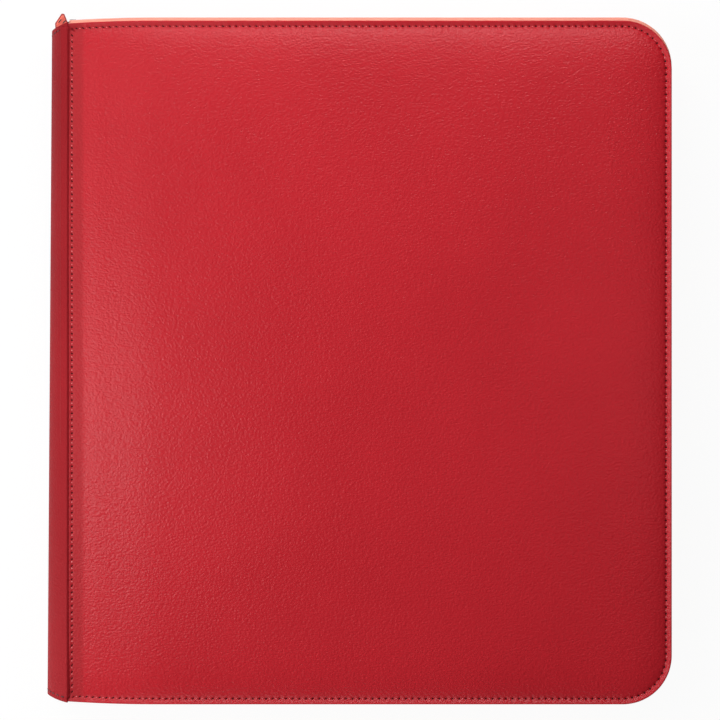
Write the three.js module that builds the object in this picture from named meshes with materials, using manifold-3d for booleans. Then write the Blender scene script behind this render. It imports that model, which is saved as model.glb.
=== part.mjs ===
// A zip-around trading card binder, closed and lying on its back cover.
// Millimetres, +Z up. X runs from the spine (-X) to the fore edge (+X) and Y from the foot to the head of
// the covers. The origin is the middle of the face that the binder lies on.
//
// Each cover is a sandwich: leatherette skin, foam, board and lining. Skin and lining are shallow trays
// whose rims meet in a sewn lip, and the zip tape comes out between them. The spine is a bowed shell between
// two creases, which are the hinge lines of the case. Twenty pocket leaves hang by thin stubs round one
// binding rod, which a web holds off the spine, so that the leaves fan about the rod as the case opens.
import * as THREE from "three";
import { mergeVertices } from "three/addons/utils/BufferGeometryUtils.js";
import Module from "manifold-3d";

const wasm = await Module();
wasm.setup();

// ---------------------------------------------------------------- driving dimensions
const coverWidth = 308.4; // crease to the lip's fore edge
const coverHeight = 349;
const cornerRadius = 25;
const spineBulge = 10.5; // how far the spine bows out past the creases
const tapeBulge = 0.15; // how far the zip tape stands out past the lip
const tapeHeadBulge = 1.9; // the same along the head, where the tape is fullest

const gap = 0.2; // between plies that are glued or sewn together
const clearance = 0.3; // between pieces that only touch
const creaseGap = 0.15; // each side of a hinge line

const skinThickness = 0.8;
const foamThickness = 1.6;
const boardThickness = 2;
const liningThickness = 0.6;
const liningSetback = 1; // the lining's edge behind the skin's, so that the tape can turn up between them
const lipWidth = 6; // sewn margin outside the padded panel
const lipDrop = 1.6; // how far the skin steps down from panel to lip
const boardSpineInset = 3; // the board stops short of the crease, so that the crease can fold

const spineBoardThickness = 1.2;
const spineLiningThickness = 0.5;
const spineEndInset = 1.8; // the spine skin is this much shorter than the cover at each end
const spineTurnIn = 9.7; // the board and the lining stop this far inside the skin's ends

const leafCount = 20;
const leafThickness = 1;
const leafGap = 0.2; // between leaves
const leafRoom = 1.5; // between the outer leaves and the linings
const leafForeRoom = 7.4; // leaf to the lip's fore edge
const leafEndRoom = 29.5; // leaf and binding strip to the lip's edge, at the head and the foot
const leafCore = 0.3; // middle sheet, at the bottom of the pockets
const stubThickness = 0.2;
const stubLength = 13; // binding axis to the thick part of the leaf, in plan
const rodRadius = 5.6;
const stubClearance = 0.4;
const webThickness = 0.8;
const footWidth = 8;
const footThickness = 0.6;
const footReach = 0.8; // foot to the lining's apex

const pocketColumns = 4;
const pocketRows = 3;
const columnWeld = 1;
const rowWeld = 2;
const endWeld = 5; // leaf beyond the pockets, at the head and the foot

const tapeThickness = 0.5;
const tapeSeam = 5; // how far the tape reaches into the lip
const zipInset = 3.6; // the chain's tape lies this far inside the lip's edge
const coilWidth = 2.6;
const coilThickness = 1.55;
const coilGap = 1.2; // between the two rows, where the slider's web passes
const tapeEdgeSetback = 0.1; // the tape's edge behind its coil's edge
const swellStart = -1; // the head's extra bulge grows from this far inside the lip
const frontZipStart = 9; // crease to the front tape's ends
const tapeTail = 6.8; // the back tape runs this far past the crease, at the head

const sliderLength = 13;
const sliderWidth = 11;
const sliderPlate = 1.2;
const sliderPlay = 0.35;
const sliderWeb = 0.6;
const sliderWebLength = 3;
const sliderFlange = 0.8;
const sliderStart = -5; // the parked slider's spine-side end, from the crease
const earLength = 3.2;
const earWidth = 2.2;
const pinRadius = 0.5;
const pinPlay = 0.1;
const pullArm = 1;
const pullThickness = 1.2;
const pullWidth = 6.8;
const pullLength = 18;
const pullNeck = 2.4; // pin to the pull's plate
const sleeveLength = 17;
const sleeveWall = 0.35;
const sleeveOverhang = 5;

const stopLength = 1.4;
const stopWall = 0.7;

const tabWidth = 7.3;
const tabThickness = 1.4;
const tabRise = 5.8; // the head tab's point beyond the covers' head edge
const tabSlope = 1.2; // its spine-side shoulder is this much lower than the other

const arcSegments = 8;

// ---------------------------------------------------------------- places that follow from them
const creaseX = (spineBulge - tapeBulge - coverWidth) / 2; // the case is centred on X = 0
const foreEdgeX = creaseX + coverWidth;
const headY = coverHeight / 2;
const foamZ = skinThickness + gap;
const boardZ = foamZ + foamThickness + gap;
const liningZ = boardZ + boardThickness + gap;
const coverThickness = liningZ + liningThickness;
const leafPitch = leafThickness + leafGap;
const leafStack = leafCount * leafPitch - leafGap;
const caseThickness = 2 * (coverThickness + leafRoom) + leafStack;
const middleZ = caseThickness / 2;
const tapeZ = (lipDrop + skinThickness + (coverThickness - lipDrop - liningThickness)) / 2;
const bindingX = creaseX + caseThickness / 2; // as far from the creases as they are from the middle
const leafX = bindingX + stubLength;
const leafWidth = foreEdgeX - leafForeRoom - leafX;
const leafHeight = coverHeight - 2 * leafEndRoom;
const pocketWidth = (leafWidth - columnWeld) / pocketColumns - columnWeld;
const pocketHeight = (leafHeight - 2 * endWeld + rowWeld) / pocketRows - rowWeld;
const spineEndY = headY - spineEndInset;

const red = new THREE.MeshStandardMaterial({ color: 0xb8242f, roughness: 0.45, metalness: 0 });
const black = new THREE.MeshStandardMaterial({ color: 0x17171a, roughness: 0.8, metalness: 0 });
const grey = new THREE.MeshStandardMaterial({ color: 0x8b8478, roughness: 0.9, metalness: 0 });
const foam = new THREE.MeshStandardMaterial({ color: 0xe4e1d6, roughness: 1, metalness: 0 });
const tapeRed = new THREE.MeshStandardMaterial({ color: 0xc43038, roughness: 0.9, metalness: 0 });
const pageBlack = new THREE.MeshStandardMaterial({ color: 0x1d1e21, roughness: 0.35, metalness: 0 });
const nickel = new THREE.MeshStandardMaterial({ color: 0xb9bbbe, roughness: 0.3, metalness: 1 });

// ---------------------------------------------------------------- helpers
const solidOf = (geometry) => {
  const bare = geometry.index ? geometry.toNonIndexed() : geometry.clone();
  bare.deleteAttribute("normal");
  bare.deleteAttribute("uv");
  const merged = mergeVertices(bare, 1e-4);
  const mesh = new wasm.Mesh({
    numProp: 3,
    vertProperties: merged.attributes.position.array,
    triVerts: new Uint32Array(merged.index.array),
  });
  return new wasm.Manifold(mesh);
};

const geometryOf = (solid) => {
  const mesh = solid.getMesh();
  const geometry = new THREE.BufferGeometry();
  geometry.setAttribute("position", new THREE.BufferAttribute(new Float32Array(mesh.vertProperties), 3));
  geometry.setIndex(new THREE.BufferAttribute(new Uint32Array(mesh.triVerts), 1));
  geometry.computeVertexNormals();
  return geometry;
};

const join = (first, ...others) =>
  geometryOf(others.reduce((sum, g) => sum.add(solidOf(g)), solidOf(first)));
const cut = (first, ...others) =>
  geometryOf(others.reduce((rest, g) => rest.subtract(solidOf(g)), solidOf(first)));

const piece = (name, geometry, material) => {
  const mesh = new THREE.Mesh(geometry, material);
  mesh.name = name;
  return mesh;
};

const extrude = (shape, depth) =>
  new THREE.ExtrudeGeometry(shape, { depth, bevelEnabled: false, curveSegments: arcSegments });

// A flat plate: the plan shape between two heights.
const plate = (shape, z0, z1) => extrude(shape, z1 - z0).translate(0, 0, z0);

// A section drawn in X and Z, extruded from y0 to y1.
const alongY = (shape, y0, y1) =>
  extrude(shape, y1 - y0)
    .rotateX(Math.PI / 2)
    .translate(0, y1, 0);

const box = (x0, x1, y0, y1, z0, z1) =>
  new THREE.BoxGeometry(x1 - x0, y1 - y0, z1 - z0).translate((x0 + x1) / 2, (y0 + y1) / 2, (z0 + z1) / 2);

const ordered = (a, b) => (a < b ? [a, b] : [b, a]);

const polygon = (points) => new THREE.Shape(points.map(([x, y]) => new THREE.Vector2(x, y)));

// The cover's plan, inset from its lip: square at the spine, round at the two fore-edge corners.
function coverPlan(inset, spineX) {
  const radius = cornerRadius - inset;
  const right = foreEdgeX - inset;
  const top = headY - inset;
  const shape = new THREE.Shape();
  shape.moveTo(spineX, -top);
  shape.lineTo(right - radius, -top);
  shape.absarc(right - radius, radius - top, radius, -Math.PI / 2, 0);
  shape.lineTo(right, top - radius);
  shape.absarc(right - radius, top - radius, radius, 0, Math.PI / 2);
  shape.lineTo(spineX, top);
  return shape;
}

// Places along the lip's edge from the head end of the spine round to the foot end, each with the way out.
function edgeStations(headX, footX) {
  const stations = [{ x: headX, y: headY, nx: 0, ny: 1 }];
  for (const [side, from] of [[1, Math.PI / 2], [-1, 0]]) {
    for (let i = 0; i <= arcSegments; i += 1) {
      const angle = from - (i / arcSegments) * (Math.PI / 2);
      const nx = Math.cos(angle);
      const ny = Math.sin(angle);
      stations.push({
        x: foreEdgeX - cornerRadius + cornerRadius * nx,
        y: side * (headY - cornerRadius) + cornerRadius * ny,
        nx,
        ny,
      });
    }
  }
  stations.push({ x: footX, y: -headY, nx: 0, ny: -1 });
  return stations;
}

// A closed section of [outward, z] points, anticlockwise, carried along the edge stations. Points outside
// the lip swell outwards towards the head.
function sweepRoundEdge(section, headX, footX) {
  const stations = edgeStations(headX, footX);
  const count = section.length;
  const swellRate = (tapeHeadBulge - tapeBulge) / (tapeBulge - swellStart);
  const swell = (out, ny) => out + Math.max(0, ny) * Math.max(0, out - swellStart) * swellRate;
  const positions = stations.flatMap(({ x, y, nx, ny }) =>
    section.flatMap(([out, z]) => [x + nx * swell(out, ny), y + ny * swell(out, ny), z]),
  );
  const index = [];
  for (let i = 0; i + 1 < stations.length; i += 1) {
    for (let j = 0; j < count; j += 1) {
      const a = i * count + j;
      const b = i * count + ((j + 1) % count);
      index.push(a, b, a + count, b, b + count, a + count);
    }
  }
  const last = (stations.length - 1) * count;
  const contour = section.map(([out, z]) => new THREE.Vector2(out, z));
  for (const [a, b, c] of THREE.ShapeUtils.triangulateShape(contour, [])) {
    index.push(c, b, a);
    index.push(last + a, last + b, last + c);
  }
  const geometry = new THREE.BufferGeometry();
  geometry.setAttribute("position", new THREE.Float32BufferAttribute(positions, 3));
  geometry.setIndex(index);
  return geometry;
}

// The outline of a ribbon of even thickness whose middle follows the points, anticlockwise.
function ribbon(points, thickness) {
  const sides = points.map(([x, z], i) => {
    const [ax, az] = points[Math.max(i - 1, 0)];
    const [bx, bz] = points[Math.min(i + 1, points.length - 1)];
    const before = Math.atan2(z - az, x - ax);
    const after = Math.atan2(bz - z, bx - x);
    const first = i === 0 ? after : before;
    const second = i === points.length - 1 ? before : after;
    const turn = (first + second) / 2;
    const reach = thickness / 2 / Math.cos((second - first) / 2);
    return [-Math.sin(turn) * reach, Math.cos(turn) * reach];
  });
  const left = points.map(([x, z], i) => [x + sides[i][0], z + sides[i][1]]);
  const right = points.map(([x, z], i) => [x - sides[i][0], z - sides[i][1]]);
  return [...right, ...left.reverse()];
}

// The back cover is built as it lies. Its front twin is the same piece turned over in Z.
const sides = {
  back: { z: (value) => value, section: (points) => points },
  front: {
    z: (value) => caseThickness - value,
    section: (points) => points.map(([out, z]) => [out, caseThickness - z]).reverse(),
  },
};

// A plate between two heights of the back cover, or the same plate of the front cover.
const coverPlate = (side, shape, z0, z1) => {
  return plate(shape, ...ordered(side.z(z0), side.z(z1)));
};

// ---------------------------------------------------------------- covers
// A skin or lining: a panel, a wall down to the lip's level, and the lip, all of one thickness.
function coverTray(side, panelFace, lipFace, thickness, setback) {
  const inwards = Math.sign(lipFace - panelFace);
  const spineX = creaseX + creaseGap;
  const rim = lipFace + inwards * thickness;
  const block = coverPlate(side, coverPlan(lipWidth - thickness, spineX), panelFace, rim);
  const lip = coverPlate(side, coverPlan(setback, spineX), lipFace, rim);
  const hollow = coverPlate(
    side,
    coverPlan(lipWidth, creaseX - 1),
    panelFace + inwards * thickness,
    rim + inwards,
  );
  return geometryOf(solidOf(block).add(solidOf(lip)).subtract(solidOf(hollow)));
}

function coverParts(name) {
  const side = sides[name];
  const group = new THREE.Group();
  const core = coverPlan(lipWidth + clearance, creaseX + boardSpineInset);
  group.add(piece(`${name}_cover_skin`, coverTray(side, 0, lipDrop, skinThickness, 0), red));
  group.add(piece(`${name}_cover_foam`, coverPlate(side, core, foamZ, foamZ + foamThickness), foam));
  group.add(piece(`${name}_cover_board`, coverPlate(side, core, boardZ, boardZ + boardThickness), grey));
  group.add(
    piece(
      `${name}_cover_lining`,
      coverTray(side, coverThickness, coverThickness - lipDrop, liningThickness, liningSetback),
      black,
    ),
  );
  return group;
}

// ---------------------------------------------------------------- spine
// The skin's bow is an arc through both creases. The board and the lining follow it inside.
const bow = (() => {
  const half = middleZ - creaseGap;
  const rise = spineBulge - creaseGap;
  const radius = (half * half + rise * rise) / (2 * rise);
  return { radius, centreX: creaseX - spineBulge + radius };
})();

function bowedSheet(outerRadius, thickness, edgeX) {
  const inner = outerRadius - thickness;
  const spread = (radius) => Math.acos((bow.centreX - edgeX) / radius);
  const shape = new THREE.Shape();
  const a = spread(outerRadius);
  const b = spread(inner);
  shape.absarc(bow.centreX, middleZ, outerRadius, Math.PI - a, Math.PI + a);
  shape.absarc(bow.centreX, middleZ, inner, Math.PI + b, Math.PI - b, true);
  return shape;
}

const spineBoardRadius = bow.radius - skinThickness - clearance;
const spineLiningRadius = spineBoardRadius - spineBoardThickness - clearance;
const spineInnerRadius = spineLiningRadius - spineLiningThickness;

function spineParts() {
  const group = new THREE.Group();
  const turnedIn = spineEndY - spineTurnIn;
  const skin = bowedSheet(bow.radius, skinThickness, creaseX - creaseGap);
  const board = bowedSheet(spineBoardRadius, spineBoardThickness, creaseX - 2.5 * creaseGap);
  const lining = bowedSheet(spineLiningRadius, spineLiningThickness, creaseX - 2.5 * creaseGap);
  group.add(piece("spine_skin", alongY(skin, -spineEndY, spineEndY), red));
  group.add(piece("spine_board", alongY(board, -turnedIn, turnedIn), grey));
  group.add(piece("spine_lining", alongY(lining, -turnedIn, turnedIn), black));
  group.add(piece("binding_strip", bindingStrip(), black));
  const tabY = turnedIn + clearance;
  const tabZ = middleZ + sliderWidth / 2 + 1.1; // clear of the slider as the spine turns away
  const tabRight = creaseX - 0.5;
  const headTab = polygon([
    [tabRight - tabWidth, tabY],
    [tabRight, tabY],
    [tabRight, headY],
    [tabRight - tabWidth * 0.42, headY + tabRise],
    [tabRight - tabWidth, headY - tabSlope],
  ]);
  group.add(piece("zip_end_tab_head", plate(headTab, tabZ, tabZ + tabThickness), tapeRed));
  const footTab = polygon([
    [tabRight - tabWidth, -spineEndY + 1],
    [tabRight, -spineEndY + 1],
    [tabRight, -tabY],
    [tabRight - tabWidth, -tabY],
  ]);
  group.add(piece("zip_end_tab_foot", plate(footTab, tabZ, tabZ + tabThickness), tapeRed));
  return group;
}

// Foot on the spine lining, web out to the binding axis, and the rod that the stubs wrap.
function bindingStrip() {
  const footX = bow.centreX - spineInnerRadius + footReach;
  const webHalf = webThickness / 2;
  const meet = Math.asin(webHalf / rodRadius);
  const shape = new THREE.Shape();
  shape.moveTo(footX, middleZ - footWidth / 2);
  shape.lineTo(footX + footThickness, middleZ - footWidth / 2);
  shape.lineTo(footX + footThickness, middleZ - webHalf);
  shape.absarc(bindingX, middleZ, rodRadius, meet - Math.PI, Math.PI - meet);
  shape.lineTo(footX + footThickness, middleZ + webHalf);
  shape.lineTo(footX + footThickness, middleZ + footWidth / 2);
  shape.lineTo(footX, middleZ + footWidth / 2);
  return alongY(shape, -leafHeight / 2, leafHeight / 2);
}

// ---------------------------------------------------------------- leaves
// Each leaf is a core sheet with a welded grid on both faces. The wells of the grid are the card pockets.
function leaf(number) {
  const z = middleZ + ((leafCount + 1) / 2 - number) * leafPitch;
  const rise = z - middleZ;
  const reach = Math.hypot(stubLength, rise);
  const [ux, uz] = [stubLength / reach, rise / reach];
  const start = rodRadius + stubClearance;
  const half = stubThickness / 2;
  const thick = leafThickness / 2;
  const section = polygon([
    [bindingX + start * ux + half * uz, middleZ + start * uz - half * ux],
    [leafX, z - half],
    [leafX, z - thick],
    [leafX + leafWidth, z - thick],
    [leafX + leafWidth, z + thick],
    [leafX, z + thick],
    [leafX, z + half],
    [bindingX + start * ux - half * uz, middleZ + start * uz + half * ux],
  ]);
  let solid = solidOf(alongY(section, -leafHeight / 2, leafHeight / 2));
  for (let column = 0; column < pocketColumns; column += 1) {
    const x0 = leafX + columnWeld + column * (pocketWidth + columnWeld);
    for (let row = 0; row < pocketRows; row += 1) {
      const y0 = (row - pocketRows / 2) * (pocketHeight + rowWeld) + rowWeld / 2;
      for (const face of [1, -1]) {
        const well = ordered(z + (face * leafCore) / 2, z + face * leafThickness);
        solid = solid.subtract(solidOf(box(x0, x0 + pocketWidth, y0, y0 + pocketHeight, ...well)));
      }
    }
  }
  return geometryOf(solid);
}

function leaves() {
  const group = new THREE.Group();
  for (let number = 1; number <= leafCount; number += 1) {
    group.add(piece(`page_${String(number).padStart(2, "0")}`, leaf(number), pageBlack));
  }
  return group;
}

// ---------------------------------------------------------------- zip
// Each tape leaves the lip, turns over a soft bulge and runs inwards to its row of coil at the middle.
const coilEdge = middleZ - coilGap / 2;
const tapeSection = ribbon(
  [
    [-tapeSeam, tapeZ],
    [tapeBulge - tapeThickness / 2 - 0.4, tapeZ],
    [tapeBulge - tapeThickness / 2, tapeZ + 0.6],
    [tapeBulge - tapeThickness / 2, tapeZ + 2.4],
    [-zipInset, middleZ - sliderWidth / 2 - 0.6],
    [-zipInset, coilEdge - tapeEdgeSetback],
  ],
  tapeThickness,
);
const coilOut = tapeThickness / 2 + clearance - zipInset;
const coilSection = [
  [coilOut, coilEdge - coilWidth],
  [coilOut + coilThickness, coilEdge - coilWidth],
  [coilOut + coilThickness, coilEdge],
  [coilOut, coilEdge],
];

// A clip over the tape's edge, beyond the end of its coil.
function zipStop(side, x0, y, outward) {
  const inner = tapeThickness / 2 + clearance;
  const outer = inner + stopWall;
  const top = coilEdge + clearance - tapeEdgeSetback;
  const cap = Math.min(top + stopWall / 2, middleZ - clearance / 2);
  const low = coilEdge - coilWidth;
  const section = side.section([
    [-zipInset - outer, low],
    [-zipInset - inner, low],
    [-zipInset - inner, top],
    [-zipInset + inner, top],
    [-zipInset + inner, low],
    [-zipInset + outer, low],
    [-zipInset + outer, cap],
    [-zipInset - outer, cap],
  ]);
  const shape = polygon(section.map(([out, z]) => [outward * out, z]));
  return extrude(shape, stopLength)
    .rotateX(Math.PI / 2)
    .rotateZ(Math.PI / 2)
    .translate(x0, y, 0);
}

// What the spine's skin takes away from the back tape's tail, which passes inside the bow.
function tailNotch() {
  const inside = bow.radius - skinThickness;
  const top = middleZ - Math.sqrt(inside ** 2 - (bow.centreX - creaseX + tapeTail) ** 2) + clearance;
  return box(creaseX - tapeTail - 1, creaseX + creaseGap, headY - tapeSeam - 1, headY + 3, 0, top);
}

function zipHalf(name) {
  const side = sides[name];
  const group = new THREE.Group();
  const footStop = creaseX + frontZipStart + clearance;
  const footCoil = footStop + stopLength + clearance;
  const headTape = name === "back" ? creaseX - tapeTail : creaseX + frontZipStart;
  const headCoil = name === "back" ? headTape + stopLength + clearance : headTape + clearance;
  const tape = sweepRoundEdge(side.section(tapeSection), headTape, creaseX + frontZipStart);
  group.add(piece(`zip_tape_${name}`, name === "back" ? cut(tape, tailNotch()) : tape, tapeRed));
  const coil = sweepRoundEdge(side.section(coilSection), headCoil, footCoil);
  group.add(piece(`zip_coil_${name}`, coil, tapeRed));
  group.add(piece(`zip_stop_${name}_foot`, zipStop(side, footStop, -headY, -1), nickel));
  if (name === "back") {
    group.add(piece("zip_stop_back_head", zipStop(side, headTape, headY, 1), nickel));
  }
  return group;
}

// Two plates, joined by a web that runs between the rows of coil. The pull's pin turns in the ear.
const innerPlateOut = -zipInset - tapeThickness / 2 - sliderPlay;
const outerPlateOut = coilOut + coilThickness + sliderPlay;
const pinOut = outerPlateOut + sliderPlate + 1;
const pinX = creaseX + sliderStart + sliderLength / 2;

function pinBar(radius, z0, z1) {
  return new THREE.CylinderGeometry(radius, radius, z1 - z0, 16)
    .rotateX(Math.PI / 2)
    .translate(pinX, headY + pinOut, (z0 + z1) / 2);
}

function slider() {
  const x0 = creaseX + sliderStart;
  const x1 = x0 + sliderLength;
  const [z0, z1] = [middleZ - sliderWidth / 2, middleZ + sliderWidth / 2];
  const bar = (xa, xb, outA, outB, za, zb) => box(xa, xb, headY + outA, headY + outB, za, zb);
  const flangeEnd = tapeThickness / 2 + sliderPlay - zipInset;
  const body = join(
    bar(x0, x1, innerPlateOut - sliderPlate, innerPlateOut, z0, z1),
    bar(x0, x1, outerPlateOut, outerPlateOut + sliderPlate, z0, z1),
    bar(x0, x1, flangeEnd, outerPlateOut + sliderPlate / 2, z0, z0 + sliderFlange),
    bar(x0, x1, flangeEnd, outerPlateOut + sliderPlate / 2, z1 - sliderFlange, z1),
    bar(
      x0,
      x0 + sliderWebLength,
      innerPlateOut - sliderPlate / 2,
      outerPlateOut + sliderPlate / 2,
      middleZ - sliderWeb / 2,
      middleZ + sliderWeb / 2,
    ),
    bar(
      pinX - earLength / 2,
      pinX + earLength / 2,
      outerPlateOut + sliderPlate / 2,
      pinOut + pinRadius + pinPlay + 0.45,
      middleZ - earWidth / 2,
      middleZ + earWidth / 2,
    ),
  );
  return cut(body, pinBar(pinRadius + pinPlay, z0, z1));
}

// The pull's fork holds the pin, and its tongue carries the sleeve.
const armGap = earWidth / 2 + clearance;
const tongueThickness = pullThickness / 2;

function pull() {
  const y = headY + pinOut;
  const plateX = pinX + pullNeck;
  const half = pullThickness / 2;
  const wide = pullWidth / 2;
  const arm = (from, to) =>
    box(pinX - pinRadius, plateX + 0.5, y - half, y + half, middleZ + from, middleZ + to);
  return join(
    pinBar(pinRadius, middleZ - armGap - pullArm, middleZ + armGap + pullArm),
    arm(armGap, armGap + pullArm),
    arm(-armGap - pullArm, -armGap),
    box(plateX, plateX + sleeveOverhang, y - half, y + half, middleZ - wide, middleZ + wide),
    box(
      plateX,
      plateX + pullLength,
      y - tongueThickness / 2,
      y + tongueThickness / 2,
      middleZ - wide + 1,
      middleZ + wide - 1,
    ),
  );
}

function pullSleeve() {
  const y = headY + pinOut;
  const x0 = pinX + pullNeck + sleeveOverhang + clearance;
  const hollow = tongueThickness / 2 + clearance / 2;
  const half = hollow + sleeveWall;
  const width = pullWidth / 2 + 0.5;
  const outline = new THREE.Shape();
  outline.moveTo(x0, middleZ - width);
  outline.lineTo(x0 + sleeveLength - width, middleZ - width);
  outline.absarc(x0 + sleeveLength - width, middleZ, width, -Math.PI / 2, Math.PI / 2);
  outline.lineTo(x0, middleZ + width);
  const slot = box(
    x0 - 1,
    pinX + pullNeck + pullLength + clearance,
    y - hollow,
    y + hollow,
    middleZ - pullWidth / 2 + 1 - clearance,
    middleZ + pullWidth / 2 - 1 + clearance,
  );
  return cut(alongY(outline, y - half, y + half), slot);
}

// ---------------------------------------------------------------- the binder
const binder = new THREE.Group();
const zipSlider = new THREE.Group();
zipSlider.add(piece("zip_slider", slider(), nickel));
zipSlider.add(piece("zip_pull", pull(), nickel));
zipSlider.add(piece("zip_pull_sleeve", pullSleeve(), red));
binder.add(coverParts("back"), spineParts(), coverParts("front"), leaves());
binder.add(zipHalf("back"), zipHalf("front"), zipSlider);

export default binder;
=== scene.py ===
"""A zip-around trading card binder in red leatherette, dressed round its fixed CAD frame.

Lengths are in millimetres until a mesh is made, and in metres in the scene. Every cover piece is worked out in the
back cover's place, counting heights up from the face it lies on. The front cover is the same piece turned over.
"""

import logging
import math
from dataclasses import dataclass, field, replace
from enum import Enum
from typing import Any, Callable, Optional, Sequence

import bmesh
import bpy
import numpy as np
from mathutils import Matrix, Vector


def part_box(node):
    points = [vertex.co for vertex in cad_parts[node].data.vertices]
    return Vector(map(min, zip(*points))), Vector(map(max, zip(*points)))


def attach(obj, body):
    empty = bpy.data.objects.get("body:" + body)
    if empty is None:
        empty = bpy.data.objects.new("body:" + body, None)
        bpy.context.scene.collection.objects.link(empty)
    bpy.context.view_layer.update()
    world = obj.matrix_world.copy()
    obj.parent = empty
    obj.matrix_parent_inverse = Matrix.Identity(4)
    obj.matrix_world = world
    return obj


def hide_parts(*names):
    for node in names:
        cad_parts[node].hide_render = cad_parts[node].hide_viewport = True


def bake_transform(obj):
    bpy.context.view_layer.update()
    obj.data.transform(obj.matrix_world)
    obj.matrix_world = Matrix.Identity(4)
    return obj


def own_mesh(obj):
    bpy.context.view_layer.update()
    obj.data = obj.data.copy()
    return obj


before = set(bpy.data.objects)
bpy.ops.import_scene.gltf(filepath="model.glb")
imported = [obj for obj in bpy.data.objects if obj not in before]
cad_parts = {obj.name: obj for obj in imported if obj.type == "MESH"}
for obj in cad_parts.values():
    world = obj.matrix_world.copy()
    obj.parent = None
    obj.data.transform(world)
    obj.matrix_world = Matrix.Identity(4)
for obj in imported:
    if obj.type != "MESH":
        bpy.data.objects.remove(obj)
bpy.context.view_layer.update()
MM = 0.001
LOG = logging.getLogger("binder")
WAVE_PERIOD = math.pi / 10  # a wave texture repeats this often at a scale of one


class Side(Enum):
    """Which cover a piece belongs to."""

    BACK = "back"
    FRONT = "front"


# ------------------------------------------------------------------ shader maths
class Value:
    """A socket that takes part in sums: each operator adds a Math node."""

    def __init__(self, tree: "Recipe", socket: Any) -> None:
        """Keep the node recipe and the output socket."""
        self.tree = tree
        self.socket = socket

    def _math(self, operation: str, *terms: Any) -> "Value":
        """Add one Math node over the terms."""
        return self.tree.node("ShaderNodeMath", {"operation": operation}, dict(enumerate(terms)))

    def __add__(self, other: Any) -> "Value":
        """Self plus other."""
        return self._math("ADD", self, other)

    __radd__ = __add__

    def __sub__(self, other: Any) -> "Value":
        """Self minus other."""
        return self._math("SUBTRACT", self, other)

    def __rsub__(self, other: Any) -> "Value":
        """Other minus self."""
        return self._math("SUBTRACT", other, self)

    def __mul__(self, other: Any) -> "Value":
        """Self times other."""
        return self._math("MULTIPLY", self, other)

    __rmul__ = __mul__

    def __truediv__(self, other: Any) -> "Value":
        """Self over other."""
        return self._math("DIVIDE", self, other)

    def power(self, exponent: float) -> "Value":
        """Self to a power."""
        return self._math("POWER", self, exponent)

    def fraction(self) -> "Value":
        """The part after the decimal point."""
        return self._math("FRACT", self)

    def size(self) -> "Value":
        """The absolute value."""
        return self._math("ABSOLUTE", self)

    def step(self, start: float, end: float) -> "Value":
        """A smooth step from 0 at start to 1 at end; start may be the larger."""
        settings = {"interpolation_type": "SMOOTHSTEP"}
        low, high = min(start, end), max(start, end)
        rise = self.tree.node("ShaderNodeMapRange", settings, {0: self, 1: low, 2: high, 3: 0.0, 4: 1.0})
        return rise if start < end else 1.0 - rise


class Recipe:
    """The node tree of one material."""

    def __init__(self, name: str) -> None:
        """Start a material with a bare surface shader."""
        self.material = bpy.data.materials.new(name)
        self.material.use_nodes = True
        self.nodes = self.material.node_tree.nodes
        self.links = self.material.node_tree.links
        self.surface = self.nodes["Principled BSDF"]

    def node(self, kind: str, settings: dict, inputs: dict, output: Any = 0) -> Value:
        """Add a node.

        Args:
            kind: the node's type.
            settings: attributes set before the sockets.
            inputs: values or links by socket name or number.
            output: name or number of the socket to use.

        Returns:
            The chosen output.
        """
        made = self.nodes.new(kind)
        for key, value in settings.items():
            setattr(made, key, value)
        for key, value in inputs.items():
            self.feed(made.inputs[key], value)
        return Value(self, made.outputs[output])

    def feed(self, socket: Any, value: Any) -> None:
        """Link a value to a socket, or set the number."""
        if isinstance(value, Value):
            self.links.new(value.socket, socket)
        else:
            socket.default_value = value

    def mix(self, factor: Any, first: Any, second: Any) -> Value:
        """Mix two colours by a factor."""
        return self.node("ShaderNodeMix", {"data_type": "RGBA"}, {0: factor, 6: first, 7: second}, 2)

    def place(self) -> Value:
        """The object coordinates."""
        return self.node("ShaderNodeTexCoord", {}, {}, "Object")

    def uv(self, name: str) -> tuple[Value, Value]:
        """The two coordinates of a UV map."""
        made = self.node("ShaderNodeUVMap", {"uv_map": name}, {})
        parts = self.nodes.new("ShaderNodeSeparateXYZ")
        self.links.new(made.socket, parts.inputs[0])
        return Value(self, parts.outputs[0]), Value(self, parts.outputs[1])

    def noise(self, scale: float, detail: float = 2.0, stretch: Optional[tuple] = None) -> Value:
        """Noise on the object coordinates, stretched if asked."""
        place = self.place()
        if stretch:
            place = self.node("ShaderNodeMapping", {}, {"Vector": place, "Scale": stretch})
        return self.node("ShaderNodeTexNoise", {}, {"Vector": place, "Scale": scale, "Detail": detail})

    def cells(self, scale: float, feature: str = "F1") -> Value:
        """Distance in a cell pattern on the object coordinates."""
        inputs = {"Vector": self.place(), "Scale": scale}
        return self.node("ShaderNodeTexVoronoi", {"feature": feature}, inputs, "Distance")

    def bump(self, height: Value, depth: float, strength: float = 1.0) -> Value:
        """A bump of the given depth in metres."""
        inputs = {"Strength": strength, "Distance": depth, "Height": height}
        return self.node("ShaderNodeBump", {}, inputs, "Normal")

    def finish(self, **sockets: Any) -> bpy.types.Material:
        """Feed the surface's sockets, named with underscores for spaces.

        Returns:
            The finished material.
        """
        for key, value in sockets.items():
            self.feed(self.surface.inputs[key.replace("_", " ")], value)
        return self.material


def rgba(red: float, green: float, blue: float) -> tuple[float, float, float, float]:
    """An opaque linear colour."""
    return (red, green, blue, 1.0)


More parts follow.
